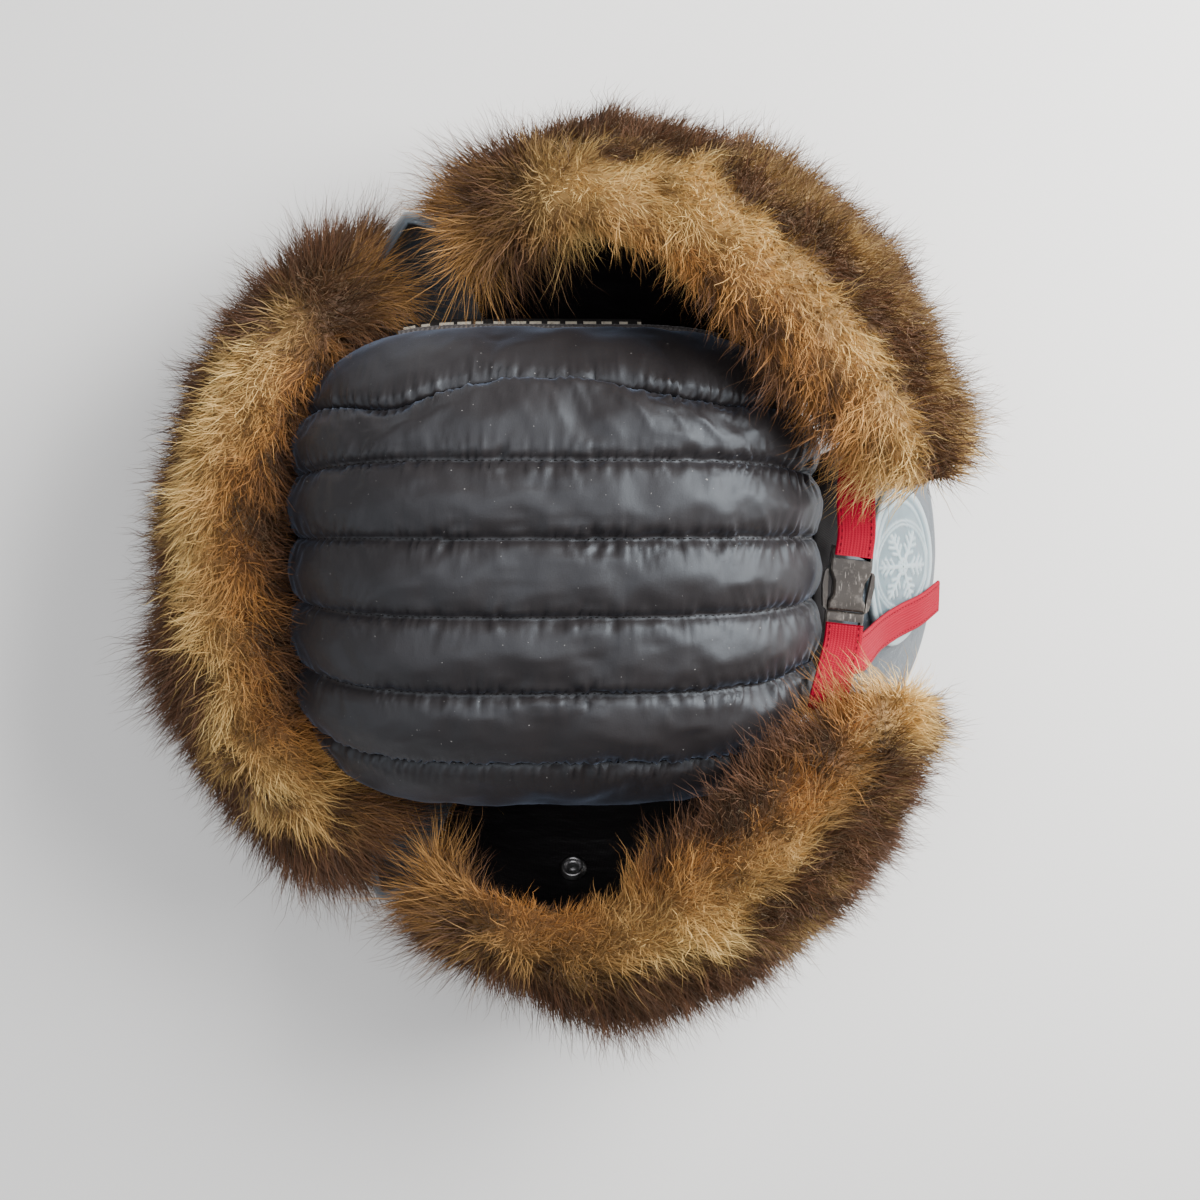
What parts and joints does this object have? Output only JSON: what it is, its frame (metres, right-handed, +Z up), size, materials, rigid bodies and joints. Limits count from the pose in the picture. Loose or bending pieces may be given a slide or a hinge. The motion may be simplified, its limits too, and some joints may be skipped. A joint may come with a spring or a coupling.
{
  "type": "earflap hat",
  "caption": "Padded quilted winter hat lying on its rim, fur ear flaps folded up round the crown and buckled behind it by a webbing strap.",
  "frame": {"origin": "middle of the footprint, on the surface that the rim rests on", "axes": "+Z up through the crown, -X towards the front of the hat, +Y towards the wearer's right side"},
  "size_m": [0.3541, 0.3878, 0.1557],
  "materials": {
    "quilt_nylon": "down-proof black nylon, quilted, soft sheen",
    "piping": "satin-covered cord",
    "tape": "woven tape with light dashes",
    "shell_cloth": "grey-blue shell cloth",
    "satin": "black satin lining",
    "fur": "deep golden fur with brown tips",
    "patch_rubber": "moulded pale rubber",
    "snap_metal": "pressed snap, lightly worn",
    "buckle_plastic": "scuffed black-brown plastic",
    "webbing": "red woven webbing, stitched edges"
  },
  "bodies": {
    "root": {"crown_panel": "quilt_nylon", "side_panel_right": "quilt_nylon", "side_panel_left": "quilt_nylon", "side_piping_right": "piping", "side_piping_left": "piping", "dash_tape": "tape", "front_flap": "shell_cloth", "front_flap_fur": "fur", "ear_flap_right": "satin", "ear_flap_right_fur": "fur", "ear_flap_left": "satin", "ear_flap_left_fur": "fur", "gusset_right": "shell_cloth", "gusset_left": "shell_cloth", "neck_flap": "shell_cloth", "back_patch": "patch_rubber", "snap_button": "snap_metal", "buckle_socket": "buckle_plastic", "buckle_plug": "buckle_plastic", "strap_upper": "webbing", "strap_lower": "webbing", "strap_tail": "webbing"}
  },
  "joints": []
}
